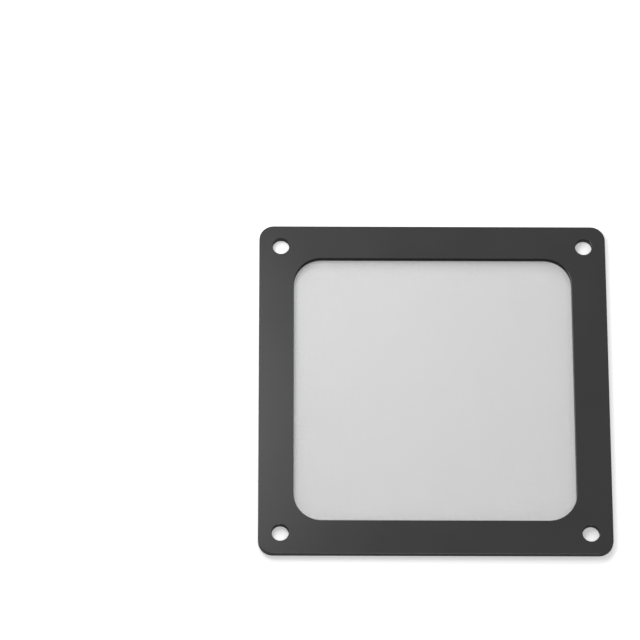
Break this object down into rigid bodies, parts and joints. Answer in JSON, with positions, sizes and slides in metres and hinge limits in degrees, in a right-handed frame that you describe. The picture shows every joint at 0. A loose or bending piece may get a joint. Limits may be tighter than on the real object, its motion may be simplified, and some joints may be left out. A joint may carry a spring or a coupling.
{
  "type": "fan dust filter",
  "caption": "Thin square dust filter for a computer fan: a fine black net laminated between two die-cut PVC frames, with rounded corners and a screw hole near each corner.",
  "frame": {"origin": "centre of the square on the rear face, which is the face the filter lies on", "axes": "+Z out of the front face, X and Y along the square's sides"},
  "size_m": [0.12, 0.12, 0.0025],
  "materials": {
    "frame_pvc": "smooth black PVC sheet with a soft satin sheen",
    "net": "fine black monofilament net"
  },
  "bodies": {
    "root": {"rear_frame": "frame_pvc", "mesh_screen": "net", "front_frame": "frame_pvc"}
  },
  "joints": []
}
